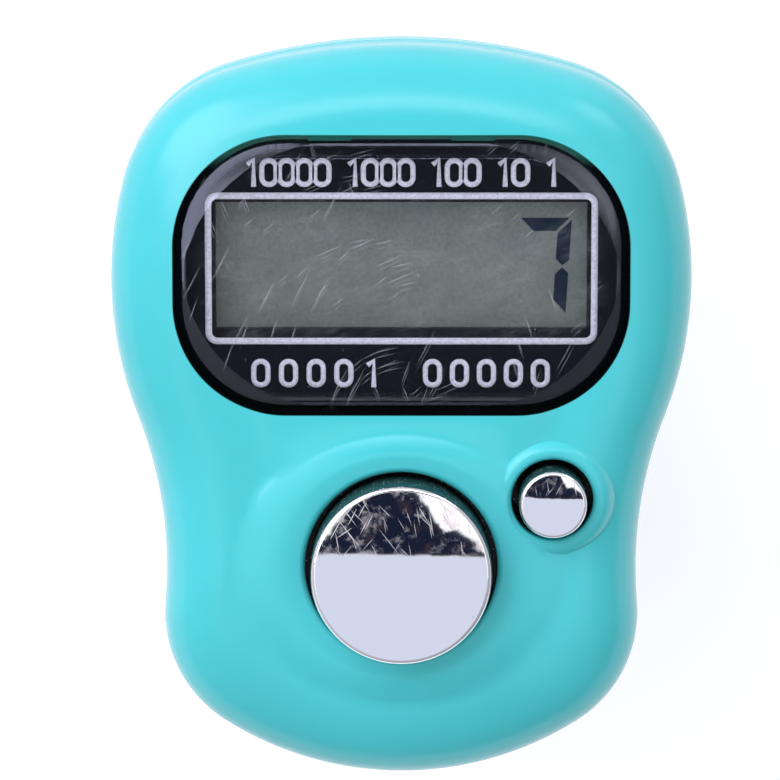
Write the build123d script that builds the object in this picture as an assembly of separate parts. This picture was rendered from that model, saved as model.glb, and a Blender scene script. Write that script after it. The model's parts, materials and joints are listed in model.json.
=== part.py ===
from build123d import *
import os
from math import atan2, cos, degrees, pi, sin, sqrt

os.makedirs("parts", exist_ok=True)

# Digital tally counter worn on a finger. Millimetres. +Z points out of the face, +Y
# towards the display end and +X to the right as the display is read. The origin is on
# the flat underside of the finger strap, below the middle of the case.

# Case
body_width = 33.0
body_length = 42.0
front_height = 7.5
rear_depth = 6.0
side_wall = 1.4
front_wall = 1.4
rear_wall = 2.0
running_gap = 0.1
lip_height = 0.8
saddle_radius = 14.0
saddle_depth = 0.7

# Case outline, one arc after another from the display end round to the button end:
# broad head, shoulder, widest side, drawn-in waist, hip and foot
head_radius = 33.8
shoulder_radius = 8.7
side_radius = 22.0
side_y_share = 0.367
waist_radius = 24.5
hip_radius = 7.5
foot_radius = 18.7
hip_width_share = 0.824

# The face is flat over this share of the outline and rounds down from there
flat_share = 0.5
shoulder_power = 4
section_count = 6

# Inside, the walls stand upright over this share of the height and lean in from there
upright_share = 0.6
front_ceiling_inset = 3.4
rear_floor_inset = 2.8

# Display window, its aperture and its mask
window_side_border = 2.15
window_end_border = 3.85
aperture_corner = 6.3
aperture_y_share = 0.4
window_gap = 0.4
window_thickness = 2.0
window_proud = 0.1
window_edge_round = 0.95
window_ledge = 1.3
ledge_thickness = 0.9
skirt_wall = 1.0
nub_spacing = 8.0
nub_radius = 0.5
nub_drop = 0.2
tab_drop = 0.9
tab_width = 2.4
mask_gap = 0.02
mask_thickness = 0.1
mask_side_gap = 0.125
mask_end_gap = 0.4
mask_opening_corner = 0.4
mask_opening_lift = 0.1

# Display glass and what holds it
display_width = 20.95
display_length = 7.2
display_lift = 0.2
display_margin = 1.2
display_end_margin = 0.75
contact_strip = 1.9
glass_thickness = 1.1
polariser_thickness = 0.2
polariser_inset = 0.4
frame_wall = 0.8
frame_plate = 0.5
frame_corner = 1.6
frame_peg_radius = 0.4
frame_peg_reach = 0.5
frame_peg_share = 0.25
zebra_thickness = 1.5
zebra_end_gap = 0.6
pad_inset = 1.4

# Circuit board
board_thickness = 0.8
board_rise = 0.6
board_gap = 0.35
board_hole_gap = 0.2

# Count button
count_y = -8.1
count_radius = 5.08
count_hole_radius = 5.42
count_proud = 2.6
count_dome_radius = 38.0
count_edge_round = 0.3
count_flange_lap = 0.4
count_flange_thickness = 0.7
count_stem_radius = 1.7
count_skin = 1.1
count_travel = 0.35
count_seat_depth = 1.95
count_rim_round = 0.35

# Reset button
reset_x_share = 0.515
reset_y = -4.25
reset_radius = 1.9
reset_hole_radius = 2.3
reset_proud = 1.6
reset_dome_radius = 15.0
reset_edge_round = 0.22
reset_flange_lap = 0.35
reset_flange_thickness = 0.6
reset_stem_radius = 0.9
reset_skin = 0.6
reset_travel = 0.3
reset_seat_depth = 3.2
reset_rim_round = 0.25

# Raised mounds round the two buttons
count_mound_rise = 0.45
count_mound_half_width = 10.9
count_mound_half_length = 8.6
count_mound_depth = 1.7
count_mound_land = 0.6
reset_mound_rise = 0.35
reset_mound_radius = 3.7
reset_mound_depth = 2.1
reset_mound_land = 0.35
mound_turn_shares = [0.0, 0.25, 0.5, 0.75, 1.0]

# Button pockets inside the front shell
pocket_gap = 0.2
collar_wall = 0.8
collar_overrun = 0.25

# Push switches: side of the square base, height of the body and of the plunger top
count_switch_side = 6.0
count_switch_body = 3.5
count_switch_height = 4.3
reset_switch_side = 3.6
reset_switch_body = 2.7
reset_switch_height = 3.5
switch_cover_thickness = 0.25
switch_well_wall = 0.65
switch_floor = 0.7
switch_dome_thickness = 0.08
switch_terminal_width = 0.7
terminal_reach_share = 0.2
switch_terminal_thickness = 0.2
plunger_share = 0.58
dome_rise_share = 0.25
cover_ear_share = 0.33
plunger_flange_thickness = 0.5
plunger_gap = 0.1

# Button cell and its contacts
cell_radius = 5.8
cell_height = 3.05
cell_y = -5.0
cell_rim = 0.9
cell_cap_rise = 0.25
cell_bevel = 0.4
cell_seal_width = 0.5
contact_thickness = 0.2
contact_width = 3.0
contact_gap = 0.5
contact_foot = 1.6

# Chip and small parts on the board
blob_radius = 3.6
blob_height = 1.3
blob_y = 9.0
chip_part_length = 1.6
chip_part_width = 0.8
chip_part_height = 0.7
chip_part_spacing = 2.4
chip_part_count = 3

# Screws
case_screw_radius = 1.0
case_screw_head_radius = 1.8
case_screw_head_height = 1.2
case_screw_length = 6.4
case_screw_seat = 3.0
case_boss_radius = 2.0
well_wall = 0.7
# Places of the case screws on the right side, as shares of the half width and half length
case_screw_place_shares = [(0.50, 0.78), (0.54, -0.68)]
board_screw_radius = 0.8
board_screw_head_radius = 1.4
board_screw_head_height = 0.8
board_screw_length = 3.8
board_boss_radius = 1.5
# Places of the board screws on the centre line, as shares of the half length
board_screw_y_shares = [0.785, -0.735]
seat_slack = 0.05
drive_width = 0.45
drive_depth_share = 0.5

# Finger strap
strap_width = 8.0
strap_thickness = 1.3
strap_y = -4.6
strap_drop = 15.6
strap_root_x = 10.4
strap_corner_radius = 6.4
strap_gap = 0.1
strap_slot_gap = 0.1
strap_head_width = 3.2
strap_head_thickness = 1.2
strap_head_depth = 0.5
strap_pad_wall = 0.8
strap_tip_round = 2.5
strap_end_margin = 2.6
long_tip_drop = 1.9
short_end_turn = 25.0
strap_hole_radius = 1.0
strap_hole_pitch = 3.0
strap_hole_count = 5
peg_neck_radius = 0.9
peg_head_radius = 1.3
peg_head_height = 0.8

# Levels
rear_level = strap_drop
parting_level = rear_level + rear_depth
crown_level = parting_level + front_height
board_top = parting_level + board_rise
board_bottom = board_top - board_thickness
window_top = crown_level + window_proud
window_bottom = window_top - window_thickness
mask_top = window_bottom - mask_gap
ledge_top = mask_top - mask_thickness
ledge_bottom = ledge_top - ledge_thickness
frame_top = ledge_bottom - running_gap
frame_ceiling = frame_top - frame_plate
front_glass_top = frame_ceiling - polariser_thickness
front_glass_bottom = front_glass_top - glass_thickness
rear_glass_bottom = front_glass_bottom - glass_thickness
rear_polariser_bottom = rear_glass_bottom - polariser_thickness
count_rim = crown_level + count_mound_rise
count_ceiling = count_rim - count_seat_depth
count_stem_bottom = board_top + count_switch_height
reset_rim = crown_level + reset_mound_rise
reset_ceiling = reset_rim - reset_seat_depth
reset_stem_bottom = board_top + reset_switch_height
cell_top = board_bottom - contact_thickness
cell_bottom = cell_top - cell_height
strap_head_top = board_bottom - strap_head_depth + contact_thickness
strap_head_bottom = strap_head_top - strap_head_thickness
screw_seat_level = parting_level - case_screw_seat

# Half sizes of the case
half_width = body_width / 2
half_length = body_length / 2
overrun = side_wall
side_y = side_y_share * half_length
aperture_y = aperture_y_share * half_length
mask_opening_y = aperture_y + mask_opening_lift
display_y = aperture_y + display_lift
reset_x = reset_x_share * half_width
case_screw_places = [
    (side * x * half_width, y * half_length)
    for x, y in case_screw_place_shares
    for side in (1, -1)
]
board_screw_places = [(0, y * half_length) for y in board_screw_y_shares]

# Window and its mask in plan, from the display outward
mask_opening_width = display_width + 2 * mask_side_gap
mask_opening_length = display_length + 2 * mask_end_gap
aperture_width = mask_opening_width + 2 * window_side_border
aperture_length = mask_opening_length + 2 * window_end_border

# Display stack in plan
glass_width = display_width + 2 * display_margin
glass_top_y = display_y + display_length / 2 + display_end_margin
rear_glass_bottom_y = display_y - display_length / 2 - display_end_margin
front_glass_bottom_y = rear_glass_bottom_y - contact_strip
frame_inner_width = glass_width + 2 * running_gap
frame_inner_top = glass_top_y + running_gap
frame_inner_bottom = front_glass_bottom_y - running_gap
frame_width = frame_inner_width + 2 * frame_wall
frame_length = frame_inner_top - frame_inner_bottom + 2 * frame_wall
frame_y = (frame_inner_top + frame_inner_bottom) / 2


def post(x, y, low, high, radius):
    """Upright cylinder from one level to another."""
    upright = (Align.CENTER, Align.CENTER, Align.MIN)
    return Pos(x, y, low) * Cylinder(radius, high - low, align=upright)


def block(x, y, low, high, width, length, corner=0):
    """Upright block from one level to another, with round corners in plan if asked."""
    plan = RectangleRounded(width, length, corner) if corner else Rectangle(width, length)
    return extrude(Pos(x, y, low) * plan, high - low)


def meeting(first, first_reach, second, second_reach, side):
    """Point at one distance from the first point and at another from the second."""
    apart = second - first
    along = (first_reach ** 2 - second_reach ** 2 + apart.length ** 2) / (2 * apart.length)
    off = side * sqrt(first_reach ** 2 - along ** 2)
    ahead = apart.normalized()
    return first + ahead * along + ahead.rotate(Axis.Z, 90) * off


# Centres of the arcs on the right side of the outline
head_centre = Vector(0, half_length - head_radius)
side_centre = Vector(half_width - side_radius, side_y)
foot_centre = Vector(0, foot_radius - half_length)
hip_x = hip_width_share * half_width - hip_radius
hip_y = foot_centre.Y - sqrt((foot_radius - hip_radius) ** 2 - hip_x ** 2)
hip_centre = Vector(hip_x, hip_y)
shoulder_centre = meeting(head_centre, head_radius - shoulder_radius,
                          side_centre, side_radius - shoulder_radius, -1)
waist_centre = meeting(side_centre, side_radius + waist_radius,
                       hip_centre, hip_radius + waist_radius, 1)


def outline(inset):
    """Case outline as a face, drawn in by the inset."""
    points = [Vector(0, half_length - inset)]
    for centre, beyond, radius in [
        (head_centre, shoulder_centre, head_radius),
        (side_centre, shoulder_centre, side_radius),
        (side_centre, waist_centre, side_radius),
        (hip_centre, waist_centre, hip_radius),
        (foot_centre, hip_centre, foot_radius),
    ]:
        points.append(centre + (beyond - centre).normalized() * (radius - inset))
    points.append(Vector(0, inset - half_length))
    right = []
    heading = Vector(1, 0)
    for start, end in zip(points, points[1:]):
        right.append(TangentArc(start, end, tangent=heading))
        heading = right[-1] % 1
    left = [mirror(arc, about=Plane.YZ) for arc in right]
    return make_face(right + left)


def pebble(height):
    """Half a pebble over the outline, upright if the height is positive."""
    sections = []
    for number in range(section_count):
        turn = pi / 2 * number / (section_count - 1)
        bulge = cos(turn) ** shoulder_power + sin(turn) ** shoulder_power
        reach = bulge ** (-1 / shoulder_power)
        spread = flat_share + (1 - flat_share) * reach * cos(turn)
        level = parting_level + height * reach * sin(turn)
        sections.append(Pos(0, 0, level) * scale(outline(0), spread))
    return loft(sections)


def cavity(height, end_inset):
    """Hollow of half a case, with upright walls that lean in towards its end."""
    turn_level = parting_level + height * upright_share
    upright = extrude(Pos(0, 0, parting_level) * outline(side_wall),
                      height * upright_share)
    leaning = loft([Pos(0, 0, turn_level) * outline(side_wall),
                    Pos(0, 0, parting_level + height) * outline(end_inset)], ruled=True)
    return upright + leaning


def mound(x, y, rim, foot_width, foot_length, land_radius, depth):
    """Raised pillow round a button: ellipses that close in to the land round the hole."""
    sections = []
    for share in mound_turn_shares:
        turn = share * pi / 2
        across = land_radius + (foot_width - land_radius) * cos(turn)
        along = land_radius + (foot_length - land_radius) * cos(turn)
        level = rim - depth * (1 - sin(turn))
        sections.append(Pos(x, y, level) * Ellipse(across, along))
    return loft(sections)


def band_ring(outer_inset, inner_inset, low, high):
    """Upright ring that follows the case outline."""
    ring = outline(outer_inset) - outline(inner_inset)
    return extrude(Pos(0, 0, low) * ring, high - low)


def bell_mouth(x, y, rim, radius, rounding):
    """What is cut away to round the rim of a hole."""
    corner = Pos(radius + rounding / 2, rim) * Rectangle(rounding, 2 * rounding)
    corner -= Pos(radius + rounding, rim - rounding) * Circle(rounding)
    return Pos(x, y) * revolve(Plane.XZ * corner, Axis.Z)


def front_shell():
    count_land = count_hole_radius + count_mound_land
    reset_land = reset_hole_radius + reset_mound_land
    outside = pebble(front_height)
    outside += mound(0, count_y, count_rim, count_mound_half_width,
                     count_mound_half_length, count_land, count_mound_depth)
    outside += mound(reset_x, reset_y, reset_rim, reset_mound_radius,
                     reset_mound_radius, reset_land, reset_mound_depth)
    hollow = cavity(front_height - front_wall, front_ceiling_inset)

    # Skirt under the window, collars round the button pockets, bosses for the screws
    skirt = block(0, aperture_y, ledge_bottom, crown_level,
                  aperture_width + 2 * skirt_wall, aperture_length + 2 * skirt_wall,
                  aperture_corner + skirt_wall)
    count_pocket = count_hole_radius + count_flange_lap + pocket_gap
    reset_pocket = reset_hole_radius + reset_flange_lap + pocket_gap
    count_floor = (count_ceiling - running_gap - count_flange_thickness
                   - count_travel - collar_overrun)
    reset_floor = (reset_ceiling - running_gap - reset_flange_thickness
                   - reset_travel - collar_overrun)
    collars = post(0, count_y, count_floor, crown_level, count_pocket + collar_wall)
    collars += post(reset_x, reset_y, reset_floor, crown_level, reset_pocket + collar_wall)
    bosses = [post(x, y, board_top, crown_level, case_boss_radius)
              for x, y in case_screw_places]
    bosses += [post(x, y, board_top, crown_level, board_boss_radius)
               for x, y in board_screw_places]
    hollow -= skirt
    hollow -= collars
    for boss in bosses:
        hollow -= boss

    # Room for the display frame, the button flanges and the rear shell's lip
    frame_room = block(0, frame_y, board_top, ledge_bottom,
                       frame_width + 2 * running_gap, frame_length + 2 * running_gap,
                       frame_corner + running_gap)
    lip_room = band_ring(side_wall / 2 - running_gap, side_wall + running_gap,
                         parting_level, parting_level + lip_height + running_gap)
    shell = outside - hollow - frame_room - lip_room
    shell -= post(0, count_y, count_floor, count_ceiling, count_pocket)
    shell -= post(reset_x, reset_y, reset_floor, reset_ceiling, reset_pocket)

    # Aperture with its ledge, button holes and pilot holes
    shell -= block(0, aperture_y, ledge_top, crown_level + overrun,
                   aperture_width, aperture_length, aperture_corner)
    shell -= block(0, aperture_y, ledge_bottom - overrun, crown_level + overrun,
                   aperture_width - 2 * window_ledge, aperture_length - 2 * window_ledge,
                   aperture_corner - window_ledge)
    shell -= post(0, count_y, count_ceiling - overrun, count_rim + overrun,
                  count_hole_radius)
    shell -= post(reset_x, reset_y, reset_ceiling - overrun, reset_rim + overrun,
                  reset_hole_radius)
    shell -= bell_mouth(0, count_y, count_rim, count_hole_radius, count_rim_round)
    shell -= bell_mouth(reset_x, reset_y, reset_rim, reset_hole_radius, reset_rim_round)
    case_pilot = screw_seat_level + case_screw_length + overrun / 2
    for x, y in case_screw_places:
        shell -= post(x, y, board_top, case_pilot, case_screw_radius + seat_slack)
    board_pilot = board_bottom + board_screw_length + running_gap
    for x, y in board_screw_places:
        shell -= post(x, y, board_top, board_pilot, board_screw_radius + seat_slack)

    # Nubs below the window and wider tabs above it, which centre it in the aperture
    reach = window_gap - seat_slack
    foot_y = aperture_y - aperture_length / 2 + reach - nub_radius
    head_y = aperture_y + aperture_length / 2
    for side in (1, -1):
        x = side * nub_spacing / 2
        shell += post(x, foot_y, ledge_top, crown_level - nub_drop, nub_radius)
        shell += block(x, head_y, ledge_top, crown_level - tab_drop, tab_width, 2 * reach)
    return shell


def strap_slots(low, high, width, gap):
    """Upright blocks at both strap roots."""
    slots = block(strap_root_x, strap_y, low, high, width + 2 * gap, strap_width + 2 * gap)
    return slots + mirror(slots, about=Plane.YZ)


def rear_shell():
    outside = pebble(-rear_depth)
    hollow = cavity(rear_wall - rear_depth, rear_floor_inset)
    wells = [post(x, y, rear_level, board_bottom,
                  case_screw_head_radius + running_gap + well_wall)
             for x, y in case_screw_places]
    for well in wells:
        hollow -= well
    hollow -= strap_slots(rear_level, strap_head_bottom, strap_head_width, strap_pad_wall)
    shell = outside - hollow
    shell += band_ring(side_wall / 2, side_wall, parting_level,
                       parting_level + lip_height)

    # Hollow for the finger, slots and pockets for the strap roots
    saddle_level = rear_level + saddle_depth - saddle_radius
    shell -= Pos(0, 0, saddle_level) * Rot(90, 0, 0) * Cylinder(saddle_radius, 2 * body_length)
    shell -= strap_slots(rear_level - overrun, parting_level, strap_thickness,
                         strap_slot_gap)
    shell -= strap_slots(strap_head_bottom, strap_head_top + strap_slot_gap,
                         strap_head_width, strap_slot_gap)
    for x, y in case_screw_places:
        shell -= post(x, y, rear_level - overrun, screw_seat_level,
                      case_screw_head_radius + running_gap)
        shell -= post(x, y, rear_level, parting_level, case_screw_radius + board_hole_gap)
    return shell


def display_window():
    window = block(0, aperture_y, window_bottom, window_top,
                   aperture_width - 2 * window_gap, aperture_length - 2 * window_gap,
                   aperture_corner - window_gap)
    return fillet(window.faces().sort_by(Axis.Z)[-1].edges(), window_edge_round)


def window_mask():
    mask = block(0, aperture_y, ledge_top, mask_top,
                 aperture_width - 2 * window_gap, aperture_length - 2 * window_gap,
                 aperture_corner - window_gap)
    return mask - block(0, mask_opening_y, ledge_top, mask_top, mask_opening_width,
                        mask_opening_length, mask_opening_corner)


def frame_peg_places():
    x = (frame_inner_width + frame_wall) / 2
    return [(side * x, frame_y + end * frame_peg_share * frame_length)
            for side in (1, -1) for end in (1, -1)]


def lcd_frame():
    frame = block(0, frame_y, board_top, frame_top, frame_width, frame_length, frame_corner)
    frame -= block(0, frame_y, board_top, frame_ceiling,
                   frame_inner_width, frame_inner_top - frame_inner_bottom)
    frame -= block(0, display_y, frame_ceiling, frame_top, display_width, display_length)
    for x, y in frame_peg_places():
        frame += post(x, y, board_bottom - frame_peg_reach, board_top, frame_peg_radius)
    return frame


def sheet(bottom_y, top_y, low, high, width):
    """Flat piece of the display stack."""
    return block(0, (bottom_y + top_y) / 2, low, high, width, top_y - bottom_y)


def lcd_stack():
    film_width = glass_width - 2 * polariser_inset
    film_bottom = rear_glass_bottom_y + polariser_inset
    film_top = glass_top_y - polariser_inset
    strip_y = front_glass_bottom_y + contact_strip / 2
    return {
        "lcd_front_polariser": sheet(film_bottom, film_top, front_glass_top,
                                     frame_ceiling, film_width),
        "lcd_front_glass": sheet(front_glass_bottom_y, glass_top_y, front_glass_bottom,
                                 front_glass_top, glass_width),
        "lcd_rear_glass": sheet(rear_glass_bottom_y, glass_top_y, rear_glass_bottom,
                                front_glass_bottom, glass_width),
        "lcd_rear_polariser": sheet(film_bottom, film_top, rear_polariser_bottom,
                                    rear_glass_bottom, film_width),
        "lcd_backing_pad": sheet(film_bottom + pad_inset, film_top - pad_inset, board_top,
                                 rear_polariser_bottom, film_width - 2 * pad_inset),
        "zebra_strip": sheet(strip_y - zebra_thickness / 2, strip_y + zebra_thickness / 2,
                             board_top, front_glass_bottom,
                             glass_width - 2 * zebra_end_gap),
    }


def circuit_board():
    board = extrude(Pos(0, 0, board_bottom) * outline(side_wall + board_gap), board_thickness)
    for x, y in case_screw_places:
        board -= post(x, y, board_bottom, board_top, case_screw_radius + board_hole_gap)
    for x, y in board_screw_places:
        board -= post(x, y, board_bottom, board_top, board_screw_radius + board_hole_gap)
    for x, y in frame_peg_places():
        board -= post(x, y, board_bottom, board_top, frame_peg_radius + running_gap)
    return board


def button(x, y, radius, top, dome_radius, edge_round, flange_radius, flange_top,
           flange_thickness, stem_radius, stem_bottom, skin):
    """Domed cap with a rolled edge, hollow underneath, with a flange and a stem."""
    # The edge circle touches the dome from inside, and the side of the cap
    edge_x = radius - edge_round
    dome_centre = top - dome_radius
    edge_z = dome_centre + sqrt((dome_radius - edge_round) ** 2 - edge_x ** 2)
    touch = atan2(edge_z - dome_centre, edge_x)
    middle = touch / 2
    touch_point = (dome_radius * cos(touch), dome_centre + dome_radius * sin(touch))
    middle_point = (edge_x + edge_round * cos(middle), edge_z + edge_round * sin(middle))
    half_turn = (touch + pi / 2) / 2
    dome_point = (dome_radius * cos(half_turn), dome_centre + dome_radius * sin(half_turn))
    flange_bottom = flange_top - flange_thickness
    profile = make_face([
        ThreePointArc((0, top), dome_point, touch_point),
        ThreePointArc(touch_point, middle_point, (radius, edge_z)),
        Polyline((radius, edge_z), (radius, flange_top), (flange_radius, flange_top),
                 (flange_radius, flange_bottom), (0, flange_bottom), (0, top)),
    ])
    cap = Pos(x, y) * revolve(Plane.XZ * profile, Axis.Z)
    cap -= post(x, y, flange_bottom, edge_z - skin + edge_round, radius - skin)
    return cap + post(x, y, stem_bottom, edge_z, stem_radius)


def count_button():
    return button(0, count_y, count_radius, count_rim + count_proud, count_dome_radius,
                  count_edge_round, count_hole_radius + count_flange_lap,
                  count_ceiling - running_gap, count_flange_thickness,
                  count_stem_radius, count_stem_bottom, count_skin)


def reset_button():
    return button(reset_x, reset_y, reset_radius, reset_rim + reset_proud,
                  reset_dome_radius, reset_edge_round,
                  reset_hole_radius + reset_flange_lap, reset_ceiling - running_gap,
                  reset_flange_thickness, reset_stem_radius, reset_stem_bottom, reset_skin)


def push_switch(name, x, y, side, body_height, height):
    """Square push switch: base with a well, terminals, snap dome, plunger and cover."""
    well_radius = side / 2 - switch_well_wall
    floor = board_top + switch_floor
    cover_top = board_top + body_height
    cover_bottom = cover_top - switch_cover_thickness
    base = block(x, y, board_top, cover_bottom, side, side)
    base -= post(x, y, floor, cover_bottom, well_radius)

    rise = dome_rise_share * (cover_bottom - floor)
    dome_span = well_radius - plunger_gap
    bend = (dome_span ** 2 + rise ** 2) / (2 * rise)
    ball = Sphere(bend) - Sphere(bend - switch_dome_thickness)
    dome = Pos(x, y, floor + rise - bend) * ball
    dome &= post(x, y, floor, cover_bottom, dome_span)

    stem_radius = plunger_share * side / 2
    plunger = post(x, y, floor + rise, floor + rise + plunger_flange_thickness, dome_span)
    plunger += post(x, y, floor + rise, board_top + height, stem_radius)

    cover = block(x, y, cover_bottom, cover_top, side + 2 * switch_terminal_thickness, side)
    cover -= post(x, y, cover_bottom, cover_top, stem_radius + plunger_gap)
    ear_x = (side + switch_terminal_thickness) / 2
    terminal_reach = terminal_reach_share * side
    terminals = []
    for right in (1, -1):
        cover += block(x + right * ear_x, y, floor, cover_bottom,
                       switch_terminal_thickness, cover_ear_share * side)
        for up in (1, -1):
            foot_x = x + right * (side + terminal_reach) / 2
            foot_y = y + up * (side - switch_terminal_width) / 2
            leg = block(foot_x, foot_y, board_top, board_top + switch_terminal_thickness,
                        terminal_reach, switch_terminal_width)
            leg += block(x + right * ear_x, foot_y, board_top, floor,
                         switch_terminal_thickness, switch_terminal_width)
            terminals.append(leg)
    return {
        name + "_base": base,
        name + "_terminals": Compound(children=terminals),
        name + "_dome": dome,
        name + "_plunger": plunger,
        name + "_cover": cover,
    }


def button_cell():
    mouth = cell_radius - cell_rim
    cap_radius = mouth - cell_seal_width
    rim_level = cell_top - cell_cap_rise
    neck = rim_level - cell_rim
    can = post(0, cell_y, cell_bottom, rim_level, cell_radius)
    can = chamfer(can.edges().filter_by(GeomType.CIRCLE).sort_by(Axis.Z)[0], cell_bevel)
    can -= post(0, cell_y, neck, rim_level, mouth)
    cap = post(0, cell_y, neck, cell_top, cap_radius)
    seal = post(0, cell_y, neck, rim_level, mouth) - post(0, cell_y, neck, rim_level,
                                                          cap_radius)
    return {"cell_can": can, "cell_cap": cap, "cell_seal": seal}


def positive_clip():
    """Strip over the flat side of the cell, with a leg and a foot at each side."""
    leg_x = cell_radius + contact_gap + contact_thickness / 2
    reach = leg_x + contact_thickness / 2
    clip = block(0, cell_y, cell_bottom - contact_thickness, cell_bottom,
                 2 * reach, contact_width)
    for side in (1, -1):
        clip += block(side * leg_x, cell_y, cell_bottom, board_bottom,
                      contact_thickness, contact_width)
        clip += block(side * (reach + contact_foot / 2), cell_y,
                      board_bottom - contact_thickness, board_bottom,
                      contact_foot, contact_width)
    return clip


def negative_contact():
    """Round spring pad under the cap of the cell, with a tail soldered to the board."""
    pad_radius = cell_radius - cell_rim - cell_seal_width - contact_gap
    pad = post(0, cell_y, cell_top, board_bottom, pad_radius)
    tail_y = cell_y + (cell_radius + contact_foot) / 2
    return pad + block(0, tail_y, cell_top, board_bottom, contact_foot,
                       cell_radius + contact_foot)


def chip_blob():
    bend = (blob_radius ** 2 + blob_height ** 2) / (2 * blob_height)
    ball = Pos(0, blob_y, board_bottom - blob_height + bend) * Sphere(bend)
    return ball & post(0, blob_y, board_bottom - blob_height, board_bottom, blob_radius)


def chip_parts():
    """Row of small ceramic parts between the switches and the display frame."""
    row_y = (frame_y - frame_length / 2 + count_y + count_switch_side / 2) / 2
    return Compound(children=[
        block(-chip_part_spacing * (number + 1), row_y, board_top,
              board_top + chip_part_height, chip_part_length, chip_part_width)
        for number in range(chip_part_count)
    ])


def screws(places, seat, radius, head_radius, head_height, length):
    """Pan-head screws driven upwards, with a cross recess."""
    made = []
    for x, y in places:
        screw = post(x, y, seat - head_height, seat, head_radius)
        screw += post(x, y, seat, seat + length, radius)
        drive_top = seat - head_height * (1 - drive_depth_share)
        for across, along in ((1, 0), (0, 1)):
            screw -= block(x, y, seat - head_height, drive_top,
                           drive_width + across * head_radius,
                           drive_width + along * head_radius)
        made.append(screw)
    return Compound(children=made)


# Finger strap: both halves hang from the rear shell, and their lower corners share a
# centre on the right, where the long half lies outside the short one
left_turn_level = strap_thickness / 2 + strap_corner_radius
outer_corner_radius = strap_corner_radius + strap_thickness + strap_gap
right_turn_level = strap_thickness / 2 + outer_corner_radius
turn_x = strap_root_x - strap_corner_radius
long_tip_level = rear_level - long_tip_drop
long_leg_x = strap_root_x + strap_thickness + strap_gap


def strap_band(path):
    """Band of the strap's thickness along a path in the X and Z directions."""
    section = trace(path, strap_thickness)
    band = extrude(Plane.XZ * section, strap_width / 2, both=True)
    return Pos(0, strap_y, 0) * band


def long_strap_place(distance):
    """Middle of the band and the lean of its outer side, measured from the free tip."""
    straight = long_tip_level - right_turn_level
    if distance <= straight:
        return long_leg_x, long_tip_level - distance, 0
    turn = (distance - straight) / outer_corner_radius
    x = turn_x + outer_corner_radius * cos(turn)
    return x, right_turn_level - outer_corner_radius * sin(turn), degrees(turn)


def strap_long():
    path = Line((-strap_root_x, strap_head_bottom), (-strap_root_x, left_turn_level))
    path += CenterArc((-turn_x, left_turn_level), strap_corner_radius, 180, 90)
    path += Line((-turn_x, strap_thickness / 2), (turn_x, strap_thickness / 2))
    path += CenterArc((turn_x, right_turn_level), outer_corner_radius, 270, 90)
    path += Line((long_leg_x, right_turn_level), (long_leg_x, long_tip_level))
    strap = strap_band(path)
    corners = strap.edges().filter_by(Axis.X).filter_by_position(
        Axis.X, turn_x, long_leg_x + strap_thickness)
    strap = fillet(corners.group_by(Axis.Z)[-1], strap_tip_round)
    strap += block(-strap_root_x, strap_y, strap_head_bottom, strap_head_top,
                   strap_head_width, strap_width)
    for number in range(strap_hole_count):
        x, z, lean = long_strap_place(strap_end_margin + number * strap_hole_pitch)
        punch = Rot(0, 90 + lean, 0) * Cylinder(strap_hole_radius, 2 * strap_thickness)
        strap -= Pos(x, strap_y, z) * punch
    return strap


def strap_short():
    path = Line((strap_root_x, strap_head_bottom), (strap_root_x, right_turn_level))
    path += CenterArc((turn_x, right_turn_level), strap_corner_radius, 0, -short_end_turn)
    strap = strap_band(path)
    strap += block(strap_root_x, strap_y, strap_head_bottom, strap_head_top,
                   strap_head_width, strap_width)
    neck_length = strap_thickness + 2 * strap_gap
    peg_x = strap_root_x + strap_thickness / 2
    peg_z = long_tip_level - strap_end_margin
    across = (Align.CENTER, Align.CENTER, Align.MIN)
    neck = Cylinder(peg_neck_radius, neck_length, align=across)
    head = Pos(0, 0, neck_length) * Cylinder(peg_head_radius, peg_head_height, align=across)
    return strap + Pos(peg_x, strap_y, peg_z) * Rot(0, 90, 0) * (neck + head)


def tally_counter():
    """Every piece of the counter, by name."""
    pieces = {
        "front_shell": front_shell(),
        "rear_shell": rear_shell(),
        "display_window": display_window(),
        "window_mask": window_mask(),
        "lcd_frame": lcd_frame(),
        "circuit_board": circuit_board(),
        "count_button": count_button(),
        "reset_button": reset_button(),
        "positive_clip": positive_clip(),
        "negative_contact": negative_contact(),
        "chip_blob": chip_blob(),
        "chip_parts": chip_parts(),
        "strap_long": strap_long(),
        "strap_short": strap_short(),
        "case_screws": screws(case_screw_places, screw_seat_level, case_screw_radius,
                              case_screw_head_radius, case_screw_head_height,
                              case_screw_length),
        "board_screws": screws(board_screw_places, board_bottom, board_screw_radius,
                               board_screw_head_radius, board_screw_head_height,
                               board_screw_length),
    }
    pieces |= lcd_stack()
    pieces |= button_cell()
    pieces |= push_switch("count_switch", 0, count_y, count_switch_side,
                          count_switch_body, count_switch_height)
    pieces |= push_switch("reset_switch", reset_x, reset_y, reset_switch_side,
                          reset_switch_body, reset_switch_height)
    return pieces


for name, piece in tally_counter().items():
    export_step(piece, f"parts/{name}.step")
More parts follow.
